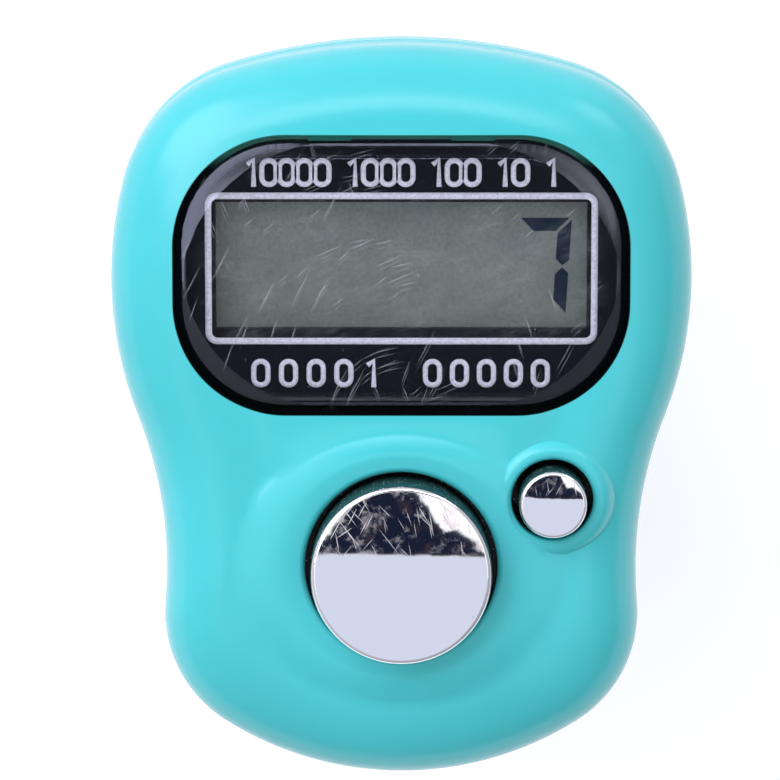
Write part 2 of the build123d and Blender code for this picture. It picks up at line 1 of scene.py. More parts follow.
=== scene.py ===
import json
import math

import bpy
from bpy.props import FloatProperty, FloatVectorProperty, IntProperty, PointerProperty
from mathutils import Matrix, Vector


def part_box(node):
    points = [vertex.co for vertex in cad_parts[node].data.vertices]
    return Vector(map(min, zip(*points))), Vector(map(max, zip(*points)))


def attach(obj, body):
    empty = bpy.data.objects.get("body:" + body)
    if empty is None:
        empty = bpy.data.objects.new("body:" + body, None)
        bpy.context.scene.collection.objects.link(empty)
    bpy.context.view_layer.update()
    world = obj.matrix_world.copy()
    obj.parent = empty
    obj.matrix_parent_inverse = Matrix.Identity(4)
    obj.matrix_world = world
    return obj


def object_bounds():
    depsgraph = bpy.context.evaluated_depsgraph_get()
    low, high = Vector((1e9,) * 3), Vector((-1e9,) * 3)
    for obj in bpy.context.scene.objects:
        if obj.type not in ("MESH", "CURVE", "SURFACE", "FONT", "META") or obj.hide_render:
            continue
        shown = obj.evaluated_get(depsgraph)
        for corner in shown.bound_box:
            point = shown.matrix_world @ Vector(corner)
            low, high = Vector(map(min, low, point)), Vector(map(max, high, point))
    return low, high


bl_info = {
    "name": "Digital tally counter",
    "version": (1, 0, 0),
    "blender": (4, 5, 0),
    "location": "View3D > Sidebar > Counter",
    "description": "Dresses the packed tally counter: case, window, display, buttons and strap",
    "category": "Object",
}

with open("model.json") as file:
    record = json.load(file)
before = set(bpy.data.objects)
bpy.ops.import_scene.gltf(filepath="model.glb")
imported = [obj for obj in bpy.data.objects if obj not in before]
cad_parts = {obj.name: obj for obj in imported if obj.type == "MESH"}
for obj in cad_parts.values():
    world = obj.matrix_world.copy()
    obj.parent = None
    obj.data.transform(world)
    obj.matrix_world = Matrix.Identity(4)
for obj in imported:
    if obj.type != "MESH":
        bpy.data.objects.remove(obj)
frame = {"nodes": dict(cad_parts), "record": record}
cad_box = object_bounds()

MM = 0.001
CASE = "case"
CLEARANCE = 0.002 * MM


class Value:
    """A shader socket with Python's operators: each one adds a Math node."""

    def __init__(self, finish, socket):
        self.finish = finish
        self.socket = socket

    def output(self, name):
        """Another output of the same node."""
        return Value(self.finish, self.socket.node.outputs[name])

    def maths(self, operation, *others, clamp=False):
        settings = {"operation": operation, "use_clamp": clamp}
        return self.finish.node("ShaderNodeMath", settings, (self, *others))

    def __add__(self, other):
        return self.maths("ADD", other)

    def __sub__(self, other):
        return self.maths("SUBTRACT", other)

    def __rsub__(self, other):
        return self.finish.node("ShaderNodeMath", {"operation": "SUBTRACT"}, (other, self))

    def __mul__(self, other):
        return self.maths("MULTIPLY", other)

    def __truediv__(self, other):
        return self.maths("DIVIDE", other)

    def __abs__(self):
        return self.maths("ABSOLUTE")

    __radd__ = __add__
    __rmul__ = __mul__

    def above(self, limit, softness):
        """1 above the limit and 0 below it, with a soft step between."""
        return ((self - limit) / softness).maths("ADD", 0.5, clamp=True)


class Finish:
    """A material or world that is being built. One method adds any node."""

    def __init__(self, tree):
        self.tree = tree
        tree.nodes.clear()

    def node(self, kind, settings=None, values=(), out=0):
        """A node with its settings, then the values or links of its sockets."""
        node = self.tree.nodes.new(kind)
        for name, value in (settings or {}).items():
            setattr(node, name, value)
        pairs = values.items() if isinstance(values, dict) else enumerate(values)
        for key, value in pairs:
            if isinstance(value, Value):
                self.tree.links.new(value.socket, node.inputs[key])
            else:
                node.inputs[key].default_value = value
        return Value(self, node.outputs[out])

    def mix(self, factor, first, second):
        """Mix of two colours."""
        first, second = (c if isinstance(c, Value) else (*c, 1)[:4] for c in (first, second))
        sockets = {0: factor, 6: first, 7: second}
        return self.node("ShaderNodeMix", {"data_type": "RGBA"}, sockets, 2)

    def place(self):
        """Object coordinates, the same as the frame's on every piece."""
        return self.node("ShaderNodeTexCoord", out="Object")

    def drawn_out(self, turn, stretch):
        """Object coordinates drawn out along one direction in plan, given in degrees."""
        values = {"Vector": self.place(), "Rotation": (0, 0, math.radians(turn)),
                  "Scale": (stretch, 1, 1)}
        return self.node("ShaderNodeMapping", {"vector_type": "TEXTURE"}, values)

    def apart(self, centre):
        """Distances across and along from a point in plan."""
        place = self.node("ShaderNodeSeparateXYZ", None, (self.place(),))
        return place.output("X") - centre.x, place.output("Y") - centre.y

    def outside_circle(self, centre, radius):
        """Distance outside a circle in plan, negative inside it."""
        across, along = self.apart(centre)
        return (across * across + along * along).maths("SQRT") - radius

    def outside_loop(self, low, high, corner):
        """Distance outside a rectangle with round corners in plan, negative inside it."""
        across, along = self.apart((low + high) / 2)
        across = abs(across) - ((high.x - low.x) / 2 - corner)
        along = abs(along) - ((high.y - low.y) / 2 - corner)
        beyond_across, beyond_along = across.maths("MAXIMUM", 0), along.maths("MAXIMUM", 0)
        beyond = (beyond_across * beyond_across + beyond_along * beyond_along).maths("SQRT")
        return beyond + across.maths("MAXIMUM", along).maths("MINIMUM", 0) - corner

    def grain(self, size, detail=4, roughness=0.6, where=None):
        """Noise whose features are about the given size in metres."""
        values = {"Vector": where or self.place(), "Scale": 1 / size, "Detail": detail,
                  "Roughness": roughness}
        return self.node("ShaderNodeTexNoise", None, values)

    def specks(self, spacing, share, size):
        """Small round dots: a share of the cells of the given spacing hold one."""
        cells = self.node("ShaderNodeTexVoronoi", None,
                          {"Vector": self.place(), "Scale": 1 / spacing})
        chosen = self.node("ShaderNodeSeparateColor", None, (cells.output("Color"),))
        return cells.maths("LESS_THAN", size / spacing) * chosen.maths("LESS_THAN", share)

    def hairlines(self, turn, width, length, spacing, share):
        """Fine scratches along one direction in plan: a share of the cells hold one."""
        cells = self.node("ShaderNodeTexVoronoi", {"voronoi_dimensions": "2D"},
                          {"Vector": self.drawn_out(turn, length / width), "Scale": 1 / spacing})
        chosen = self.node("ShaderNodeSeparateColor", None, (cells.output("Color"),))
        line = (1 - cells * (2 * spacing / width)).maths("MAXIMUM", 0)
        return line * chosen.maths("LESS_THAN", share)

    def bump(self, height, strength, distance):
        return self.node("ShaderNodeBump", None,
                         {"Height": height, "Strength": strength, "Distance": distance})

    def surface(self, **sockets):
        """The Principled BSDF, with its sockets named in words joined by underscores."""
        values = {name.replace("_", " "): v for name, v in sockets.items()}
        return self.node("ShaderNodeBsdfPrincipled", None, values)

    def rays(self, *kinds):
        """1 for rays of the given kinds, and 0 for all others."""
        path = self.node("ShaderNodeLightPath")
        seen = path.output(kinds[0])
        for kind in kinds[1:]:
            seen = seen.maths("MAXIMUM", path.output(kind))
        return seen

    def finish(self, shader, kind="ShaderNodeOutputMaterial"):
        """Links the last shader to the output."""
        output = self.tree.nodes.new(kind)
        self.tree.links.new(shader.socket, output.inputs["Surface"])


def new_finish(name):
    material = bpy.data.materials.new(name)
    material.use_nodes = True
    return material, Finish(material.node_tree)


# Materials, one function each. Lengths are in metres.


def moulded_teal(name, roughness, texture):
    """Moulded plastic with a faint flow pattern, pin-prick dust and a fine skin."""
    material, f = new_finish(name)
    teal = Vector(bpy.context.scene.counter_case.teal)
    flow = f.grain(9 * MM, 3)
    base = f.mix(flow.above(0.5, 0.5), teal * 0.96, teal * 1.04)
    dust = f.specks(3.2 * MM, 0.16, 0.055 * MM)
    base = f.mix(dust * 0.75, base, (0.8, 0.95, 0.95))
    skin = {"Roughness": roughness + 0.05 * flow + 0.4 * dust, "IOR": 1.5,
            "Normal": f.bump(f.grain(0.12 * MM, 2), 0.5, texture)}
    return material, f, base, skin


def teal_case():
    """Glossy shells, with painted shade and dust specks inside the button holes and painted shade
    on the window aperture's wall.
    """
    sizes = bpy.context.scene.counter_case
    material, f, base, skin = moulded_teal("teal_case", sizes.gloss, 0.0006 * MM)
    # Painted shade: the button holes' walls are painted dark green-black below the case's top, with
    # pale dust specks on them
    hole_shade = 0
    for button, radius in (("count_button", sizes.count_hole), ("reset_button", sizes.reset_hole)):
        low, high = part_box(button)
        gap = f.outside_circle((low + high) / 2, radius + 0.04 * MM)
        hole_shade = (0 - gap).above(0, 0.05 * MM) + hole_shade
    level = f.node("ShaderNodeSeparateXYZ", None, (f.place(),)).output("Z")
    hole_shade = hole_shade * (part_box("front_shell")[1].z - level).above(0.7 * MM, 0.9 * MM)

    # Painted shade: the wall round the window is painted black, and dark green at its edge and at
    # the display end, standing for the wall in shadow. The black part is also made metallic, so it
    # reflects only darkly
    low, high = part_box("display_window")
    inside = sizes.window_gap - f.outside_loop(low, high, sizes.window_corner)
    green = inside.above(-0.05 * MM, 0.04 * MM)
    below_end = 0 - f.apart(high)[1]
    black = inside.above(-0.02 * MM, 0.02 * MM) * below_end.above(1.2 * MM, 0.8 * MM)
    wall = f.mix(black, (0.0, 0.14, 0.11), (0.004, 0.006, 0.008))
    specks = f.grain(0.14 * MM, 2).above(0.64, 0.06)
    shade_and_dust = f.mix(specks, (0.003, 0.022, 0.020), (0.16, 0.24, 0.24))
    base = f.mix(green, base, wall)
    base = f.mix(hole_shade.maths("MINIMUM", 1), base, shade_and_dust)
    f.finish(f.surface(Base_Color=base, Metallic=black, **skin))
    return material


def teal_strap():
    """Softer skin of the strap."""
    material, f, base, skin = moulded_teal("teal_strap", 0.42, 0.006 * MM)
    f.finish(f.surface(Base_Color=base, **skin))
    return material


def clear_window():
    """Clear moulded lens with hairline scratches. Shadow rays pass straight through."""
    material, f = new_finish("clear_window")
    sizes = bpy.context.scene.counter_case
    scratches = f.specks(0.9 * MM, 0.4, 0.035 * MM)
    # Direction in degrees, length in millimetres, and the share of places that hold one
    for turn, length, share in ((62, 2.6, 0.35), (70, 1.6, 0.3), (24, 2.0, 0.3), (14, 1.4, 0.25),
                                (112, 1.2, 0.25), (40, 1.0, 0.4)):
        marks = f.hairlines(turn, 0.055 * MM, length * MM, 0.6 * MM, share)
        scratches = scratches.maths("MAXIMUM", marks)

    # Smears over the display only
    smear = f.grain(0.25 * MM, 4, 0.7, f.drawn_out(22, 4)).above(0.54, 0.25)
    smear = smear * f.grain(1.6 * MM, 3, 0.6, f.drawn_out(15, 2)).above(0.53, 0.12)
    over_display = (0 - f.outside_loop(*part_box("lcd_front_polariser"), 1 * MM)).above(0, 1 * MM)
    haze = 0.002 + 0.03 * smear * over_display

    # What the shine sees: a slightly domed face that leans, with flats cut at its corners
    low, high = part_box("display_window")
    across, along = f.apart((low + high) / 2)
    level = f.node("ShaderNodeSeparateXYZ", None, (f.place(),)).output("Z")
    fall = f.outside_loop(low, high, sizes.corner_start).maths("MAXIMUM", 0)
    height = along * math.tan(sizes.window_lean) - fall * math.tan(sizes.corner_fall) - 1.1 * level
    height = height - (across * across + along * along) / (2 * sizes.window_dome)
    face = f.bump(height, 1.0, 1.0)
    clear = f.surface(Base_Color=(1, 1, 1, 1), Roughness=0.0, IOR=1.0,
                      Transmission_Weight=1.0, Specular_IOR_Level=0.0)
    shine = f.node("ShaderNodeBsdfGlossy", None,
                   {"Color": (0.84, 0.88, 1, 1), "Roughness": 0.02, "Normal": face})
    worn = f.surface(Base_Color=(0.8, 0.82, 0.9, 1), Roughness=0.35)
    front = 1 - f.node("ShaderNodeNewGeometry", out="Backfacing")
    mirror = f.node("ShaderNodeFresnel", None, {"IOR": 1.58, "Normal": face}) * front
    glass = f.node("ShaderNodeMixShader", None, (mirror, clear, shine))
    glass = f.node("ShaderNodeMixShader", None, (scratches * 0.24 + haze, glass, worn))
    open_way = f.node("ShaderNodeBsdfTransparent", None, ((1, 1, 1, 1),))
    f.finish(f.node("ShaderNodeMixShader", None, (f.rays("Is Shadow Ray"), glass, open_way)))
    return material


def black_print():
    """Black ink behind the lens, with pin-holes and a faint unevenness."""
    material, f = new_finish("black_print")
    uneven = f.grain(1.5 * MM)
    base = f.mix(uneven, (0.002, 0.003, 0.005), (0.005, 0.006, 0.009))
    base = f.mix(f.specks(1.2 * MM, 0.1, 0.03 * MM) * 0.6, base, (0.3, 0.3, 0.36))
    f.finish(f.surface(Base_Color=base, Roughness=0.45 + 0.2 * uneven,
                       Specular_IOR_Level=0.0))
    return material


def white_ink():
    """White ink of the line and the numbers, a little ragged and thin in places."""
    material, f = new_finish("white_ink")
    ink = Vector(bpy.context.scene.counter_print.ink)
    thin = f.grain(0.14 * MM, 3).above(0.54, 0.25)
    f.finish(f.surface(Base_Color=f.mix(thin * 0.55, ink, ink * 0.45), Roughness=0.5,
                       Specular_IOR_Level=0.0))
    return material


def dark_frame():
    material, f = new_finish("dark_frame")
    mottle = f.grain(0.25 * MM)
    base = f.mix(mottle, (0.004, 0.005, 0.007), (0.010, 0.011, 0.014))
    f.finish(f.surface(Base_Color=base, Roughness=0.5, Specular_IOR_Level=0.1,
                       Normal=f.bump(mottle, 0.4, 0.004 * MM)))
    return material


def display_film():
    """Grey-green polariser with cloudy patches and fine wear, and painted light that makes it
    lighter and bluer towards its upper edge.
    """
    material, f = new_finish("display_film")
    sizes = bpy.context.scene.counter_display
    low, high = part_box("lcd_front_polariser")
    place = f.node("ShaderNodeSeparateXYZ", None, (f.place(),))
    rise = (place.output("Y") - low.y) / (high.y - low.y)
    film = Vector(sizes.film)
    # Painted light: the film is lighter and bluer towards its upper edge and darker towards its
    # lower edge
    shade = f.mix(rise, film * 0.92, (film.x * 0.98, film.y * 0.98, film.z * 1.16))
    cloud = f.grain(2.6 * MM, 5)
    shade = f.mix(cloud.above(0.52, 0.4) * 0.5, shade, film * 1.3)
    fleck = f.grain(0.2 * MM, 4, 0.75)
    shade = f.mix(fleck.above(0.53, 0.16) * 0.55, shade, film * 0.66)
    f.finish(f.surface(Base_Color=shade, Roughness=0.3 + 0.2 * cloud, Specular_IOR_Level=0.1,
                       Normal=f.bump(fleck, 0.3, 0.002 * MM)))
    return material


def segment_ink():
    material, f = new_finish("segment_ink")
    dark = Vector(bpy.context.scene.counter_display.segment)
    f.finish(f.surface(Base_Color=f.mix(f.grain(0.4 * MM), dark * 0.8, dark * 1.25),
                       Roughness=0.4, Specular_IOR_Level=0.0))
    return material


def ghost_ink():
    """Segments that are off: a touch darker than the film."""
    material, f = new_finish("ghost_ink")
    film = Vector(bpy.context.scene.counter_display.film)
    f.finish(f.surface(Base_Color=f.mix(f.grain(2.6 * MM, 5), film * 0.86, film),
                       Roughness=0.4, Specular_IOR_Level=0.0, Alpha=0.03))
    return material


def display_glass():
    material, f = new_finish("display_glass")
    haze = f.grain(1.0 * MM)
    f.finish(f.surface(Base_Color=f.mix(haze, (0.82, 0.90, 0.86), (0.9, 0.95, 0.92)),
                       Roughness=0.03 + 0.03 * haze, IOR=1.52, Transmission_Weight=0.9))
    return material


def rubbery(name, dark, light, cell, lift):
    """Matt rubber or foam with cells of the given size."""
    material, f = new_finish(name)
    cells = f.node("ShaderNodeTexVoronoi", None, {"Vector": f.place(), "Scale": 1 / cell})
    f.finish(f.surface(Base_Color=f.mix(cells, dark, light), Roughness=0.85,
                       Normal=f.bump(cells, 0.6, lift)))
    return material


def foam():
    return rubbery("foam", (0.05, 0.05, 0.055), (0.02, 0.02, 0.022), 0.22 * MM, 0.05 * MM)


def conductive_rubber():
    """Thin black and grey layers, side by side along the strip."""
    material, f = new_finish("conductive_rubber")
    layers = f.node("ShaderNodeTexWave", None,
                    {"Vector": f.place(), "Scale": 1 / (0.6 * MM), "Distortion": 0.3})
    base = f.mix(layers.above(0.5, 0.2), (0.012, 0.012, 0.013), (0.12, 0.12, 0.13))
    f.finish(f.surface(Base_Color=base, Roughness=0.7, Normal=f.bump(layers, 0.3, 0.01 * MM)))
    return material


def board():
    """Green solder mask with the weave of the glass cloth under it and tinned pads."""
    material, f = new_finish("board")
    weave = f.node("ShaderNodeTexMagic", {"turbulence_depth": 1},
                   {"Vector": f.place(), "Scale": 1 / (0.5 * MM), "Distortion": 0.5})
    weave = weave.output("Fac")
    base = f.mix(weave, (0.008, 0.075, 0.022), (0.012, 0.11, 0.035))
    pads = f.specks(2.1 * MM, 0.28, 0.32 * MM)
    base = f.mix(pads, base, (0.62, 0.60, 0.55))
    f.finish(f.surface(Base_Color=base, Metallic=pads, Roughness=0.32 + 0.1 * weave,
                       Normal=f.bump(weave, 0.3, 0.004 * MM)))
    return material


def epoxy():
    material, f = new_finish("epoxy")
    swirl = f.grain(0.9 * MM)
    f.finish(f.surface(Base_Color=f.mix(swirl, (0.006, 0.006, 0.006), (0.018, 0.018, 0.017)),
                       Roughness=0.16 + 0.2 * swirl, Normal=f.bump(swirl, 0.4, 0.03 * MM)))
    return material


def ceramic():
    """Tan body with tinned ends."""
    material, f = new_finish("ceramic")
    speckle = f.grain(0.1 * MM)
    body = f.mix(speckle, (0.30, 0.17, 0.09), (0.42, 0.26, 0.15))
    f.finish(f.surface(Base_Color=body, Roughness=0.55, Normal=f.bump(speckle, 0.3, 0.005 * MM)))
    return material


def chrome_button():
    """Plating with crossing hairlines, brown worn patches and pits. The side towards the display
    end is painted dark as a painted reflection of the hole's wall, with dust specks, and the part
    below the case's top gets painted shade.
    """
    material, f = new_finish("chrome_button")
    bright = Vector(bpy.context.scene.counter_buttons.chrome)
    level = f.node("ShaderNodeSeparateXYZ", None, (f.place(),)).output("Z")
    sizes = bpy.context.scene.counter_buttons
    handled, side = 0, 0
    for button, drop in (("count_button", sizes.count_drop), ("reset_button", sizes.reset_drop)):
        low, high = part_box(button)
        middle, reach = (low + high) / 2, (high.x - low.x) / 2
        along = f.apart(middle)[1] / reach
        upper, seen = along.above(0.24, 0.12), along.above(-0.2, 0.3)
        here = (0.1 * MM - f.outside_circle(middle, reach)).above(0, 0.1 * MM)
        handled = here * upper + handled
        # Painted reflection: below the drop, the side towards the display end is painted dark
        # green-black, rough and not metallic, standing for the hole's wall reflected in the plating
        side = here * seen * (high.z - level).above(drop, 0.06 * MM) + side
    scratches = f.hairlines(-52, 0.06 * MM, 2.4 * MM, 0.4 * MM, 0.7)
    for turn in (-60, -45, -70, 35, 48, 62, 100):
        marks = f.hairlines(turn, 0.045 * MM, 1.2 * MM, 0.35 * MM, 0.6)
        scratches = scratches.maths("MAXIMUM", marks)
    scratches = scratches * handled
    worn = f.grain(0.9 * MM, 5, 0.7).above(0.56, 0.1) * handled
    pits = f.specks(1.3 * MM, 0.15, 0.035 * MM)
    # Painted shade: the button is painted near-black where it sits below the case's top, down in
    # its hole
    hole_shade = (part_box("front_shell")[1].z - level).above(0.9 * MM, 0.2 * MM)
    dust = f.specks(0.2 * MM, 0.5, 0.05 * MM) * side
    base = f.mix(worn * 0.35, bright, (0.95, 0.72, 0.66))
    base = f.mix(pits * 0.7, base, (0.1, 0.09, 0.09))
    base = f.mix(side, base, (0.003, 0.034, 0.030))
    base = f.mix(hole_shade, base, (0.004, 0.010, 0.010))
    base = f.mix(dust * 0.7, base, (0.5, 0.6, 0.6))
    rough = 0.03 + 0.35 * scratches + 0.06 * worn + 0.4 * side
    metal = (1 - worn * 0.16 - side).maths("MAXIMUM", 0)
    f.finish(f.surface(Base_Color=base, Metallic=metal, Roughness=rough,
                       Normal=f.bump(scratches, 0.3, 0.002 * MM)))
    return material


def nylon(name, light):
    """Moulded nylon with a fine skin."""
    material, f = new_finish(name)
    skin = f.grain(0.15 * MM)
    f.finish(f.surface(Base_Color=f.mix(skin, Vector(light) * 0.6, light), Roughness=0.5,
                       Normal=f.bump(skin, 0.4, 0.004 * MM)))
    return material


def switch_plastic():
    return nylon("switch_plastic", (0.02, 0.02, 0.02))


def seal():
    return nylon("seal", (0.06, 0.08, 0.1))


def worked_metal(name, light, turn, roughness=0.3):
    """Rolled or plated metal: fine lines one way, and a mottled shine."""
    material, f = new_finish(name)
    lines = f.grain(0.12 * MM, 3, 0.6, f.drawn_out(turn, 20))
    mottle = f.grain(1.5 * MM)
    base = f.mix(mottle, Vector(light) * 0.86, light)
    f.finish(f.surface(Base_Color=base, Metallic=1.0, Roughness=roughness + 0.15 * lines,
                       Normal=f.bump(lines, 0.35, 0.002 * MM)))
    return material


def switch_metal():
    return worked_metal("switch_metal", (0.62, 0.62, 0.63), 90)


def cell_steel():
    return worked_metal("cell_steel", (0.66, 0.65, 0.63), 30, 0.2)


def contact_metal():
    return worked_metal("contact_metal", (0.70, 0.64, 0.52), 0)


def screw_steel():
    return worked_metal("screw_steel", (0.55, 0.55, 0.56), 45, 0.26)


FINISHES = (teal_case, teal_strap, clear_window, black_print, dark_frame, display_film,
            display_glass, foam, conductive_rubber, board, epoxy, ceramic, chrome_button,
            switch_plastic, switch_metal, cell_steel, seal, contact_metal, screw_steel)
SLOT_FINISH = {made.__name__: made for made in FINISHES}
made_finishes = {}


def finished(slot):
    """The material of one of the record's slots, made once."""
    if slot not in made_finishes:
        made_finishes[slot] = SLOT_FINISH[slot]()
    return made_finishes[slot]


# Geometry helpers


def new_tree(name, **inputs):
    """Geometry node group with inputs of the given kinds, and its first and last node."""
    tree = bpy.data.node_groups.new(name, "GeometryNodeTree")
    for label, kind in {"Geometry": "Geometry", **inputs}.items():
        tree.interface.new_socket(label, in_out="INPUT", socket_type=f"NodeSocket{kind}")
    tree.interface.new_socket("Geometry", in_out="OUTPUT", socket_type="NodeSocketGeometry")
    return tree, tree.nodes.new("NodeGroupInput"), tree.nodes.new("NodeGroupOutput")


def math_node(tree, operation, *values):
    """Math node with constants from its second input on."""
    node = tree.nodes.new("ShaderNodeMath")
    node.operation = operation
    for place, value in enumerate(values, 1):
        node.inputs[place].default_value = value
    return node


def link_all(tree, *pairs):
    """Links nodes, each given with the name or number of its socket."""
    for source, output, target, place in pairs:
        tree.links.new(source.outputs[output], target.inputs[place])


def smooth_tree():
    """Node group that joins a CAD node's loose triangles and shades its round faces smooth."""
    tree = bpy.data.node_groups.get("smooth_faces")
    if tree:
        return tree
    tree, start, end = new_tree("smooth_faces", Angle="Float", Level="Float")
    tree.interface.items_tree["Angle"].default_value = math.radians(32)
    tree.interface.items_tree["Level"].default_value = 2
    merge = tree.nodes.new("GeometryNodeMergeByDistance")
    merge.inputs["Distance"].default_value = 0.0005 * MM
    smooth = tree.nodes.new("GeometryNodeSetShadeSmooth")
    edges = tree.nodes.new("GeometryNodeSetShadeSmooth")
    edges.domain = "EDGE"
    edges.inputs["Shade Smooth"].default_value = False
    bend = tree.nodes.new("GeometryNodeInputMeshEdgeAngle")
    sharp = math_node(tree, "GREATER_THAN")

    # Faces more level than the input get a crease round them, so the fillet doesn't bend them
    facing = tree.nodes.new("GeometryNodeInputNormal")
    upward = tree.nodes.new("ShaderNodeSeparateXYZ")
    lying = math_node(tree, "GREATER_THAN")
    each_face = tree.nodes.new("GeometryNodeFieldOnDomain")
    each_face.domain = "FACE"
    half, near_half = 0.5, 0.25
    bounds = math_node(tree, "COMPARE", half, near_half)
    either = math_node(tree, "MAXIMUM")
    link_all(tree, (facing, "True Normal", upward, 0), (upward, "Z", lying, 0),
             (start, "Level", lying, 1), (lying, 0, each_face, 0), (each_face, 0, bounds, 0),
             (sharp, 0, either, 0), (bounds, 0, either, 1),
             (bend, "Unsigned Angle", sharp, 0), (start, "Angle", sharp, 1),
             (start, "Geometry", merge, "Geometry"), (merge, "Geometry", smooth, "Geometry"),
             (smooth, "Geometry", edges, "Geometry"), (either, 0, edges, "Selection"),
             (edges, "Geometry", end, "Geometry"))
    return tree


def dress(*names):
    """Gives CAD nodes the finish of their slot, and smooth shading on round faces."""
    slots = {part["node"]: part["material_slot"] for part in frame["record"]["subparts"]}
    for name in names:
        node = frame["nodes"][name]
        node.data.materials.clear()
        node.data.materials.append(finished(slots[name]))
        node.modifiers.new("smooth_faces", "NODES").node_group = smooth_tree()


def add_piece(name, mesh, material, body=CASE):
    """A piece of the object, made here, that rides on a body."""
    mesh.name = name
    mesh.materials.clear()
    mesh.materials.append(material)
    piece = bpy.data.objects.new(name, mesh)
    bpy.context.scene.collection.objects.link(piece)
    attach(piece, body)
    return piece


def plain_mesh(source):
    """Plain mesh of an object with its modifiers applied. The object goes."""
    depsgraph = bpy.context.evaluated_depsgraph_get()
    mesh = bpy.data.meshes.new_from_object(source.evaluated_get(depsgraph))
    bpy.data.objects.remove(source)
    return mesh


def plates(outlines, low, high):
    """Mesh of upright plates over closed outlines, between two levels."""
    corners, faces = [], []
    for outline in outlines:
        first, count = len(corners), len(outline)
        corners += [(x, y, low) for x, y in outline]
        corners += [(x, y, high) for x, y in outline]
        faces.append([first + i for i in reversed(range(count))])
        faces.append([first + count + i for i in range(count)])
        for i in range(count):
            after = (i + 1) % count
            faces.append([first + i, first + after, first + count + after, first + count + i])
    mesh = bpy.data.meshes.new("plates")
    mesh.from_pydata(corners, [], faces)
    return mesh


# Printing on the back of the lens


def arc(x, y, across, along, start, end, steps=10):
    """Points on an ellipse, from one angle to another in degrees."""
    turns = [math.radians(start + (end - start) * i / steps) for i in range(steps + 1)]
    return [(x + across * math.cos(t), y + along * math.sin(t)) for t in turns]


def rounded_loop(x, y, width, height, radius):
    """Closed path round a rectangle with round corners."""
    a, b = width / 2 - radius, height / 2 - radius
    points = []
    for side, end, start in ((1, 1, 0), (-1, 1, 90), (-1, -1, 180), (1, -1, 270)):
        points += arc(x + side * a, y + end * b, radius, radius, start, start + 90, 6)
    return points


def numeral_strokes(numeral, x, y, height):
    """Strokes of a 0 or a 1 in a plain stencil hand, with its middle at x and y."""
    if numeral == "0":
        return [(rounded_loop(x, y, 0.5 * height, 0.84 * height, 0.24 * height), True)]
    stem = x + 0.08 * height
    top, foot = y + 0.42 * height, y - 0.5 * height
    flag = stem - 0.22 * height, top - 0.14 * height
    return [([flag, (stem, top + 0.03 * height), (stem, foot)], False)]


def number_row(words, left, right, y, height):
    """Strokes of some numbers, spread evenly from the left to the right."""
    gap_share = 0.75
    count = sum(len(word) for word in words) + gap_share * (len(words) - 1)
    pitch = (right - left) / count
    strokes, x = [], left + pitch / 2
    for word in words:
        for numeral in word:
            strokes += numeral_strokes(numeral, x, y, height)
            x += pitch
        x += gap_share * pitch
    return strokes


def painted(tree, shape, output, material, end):
    """Ends a node group with Realize Instances and Set Material."""
    realize = tree.nodes.new("GeometryNodeRealizeInstances")
    paint = tree.nodes.new("GeometryNodeSetMaterial")
    paint.inputs["Material"].default_value = material
    link_all(tree, (shape, output, realize, "Geometry"), (realize, "Geometry", paint, "Geometry"),
             (paint, "Geometry", end, "Geometry"))


def ink_tree(material):
    """Node group that lays a band of ink along each path."""
    tree, start, end = new_tree("ink_band", Width="Float", Thickness="Float")
    upright = tree.nodes.new("GeometryNodeSetCurveNormal")
    upright.mode = "Z_UP"
    section = tree.nodes.new("GeometryNodeCurvePrimitiveQuadrilateral")
    sweep = tree.nodes.new("GeometryNodeCurveToMesh")
    sweep.inputs["Fill Caps"].default_value = True
    link_all(tree, (start, "Geometry", upright, "Curve"), (start, "Width", section, "Width"),
             (start, "Thickness", section, "Height"), (upright, "Curve", sweep, "Curve"),
             (section, "Curve", sweep, "Profile Curve"))
    painted(tree, sweep, "Mesh", material, end)
    return tree


def set_inputs(modifier, **values):
    """Sets a node modifier's inputs by the identifiers of their sockets."""
    for item in modifier.node_group.interface.items_tree:
        if item.item_type == "SOCKET" and item.in_out == "INPUT" and item.name in values:
            modifier[item.identifier] = values[item.name]


def inked(strokes, level, width, thickness, material):
    """Mesh of ink bands along strokes, centred on a level."""
    curve = bpy.data.curves.new("strokes", "CURVE")
    curve.dimensions = "3D"
    for points, closed in strokes:
        spline = curve.splines.new("POLY")
        spline.points.add(len(points) - 1)
        for point, (x, y) in zip(spline.points, points):
            point.co = (x, y, level, 1)
        spline.use_cyclic_u = closed
    source = bpy.data.objects.new("strokes", curve)
    bpy.context.scene.collection.objects.link(source)
    modifier = source.modifiers.new("ink_band", "NODES")
    modifier.node_group = ink_tree(material)
    set_inputs(modifier, Width=width, Thickness=thickness)
    return plain_mesh(source)


# Seven-segment digits


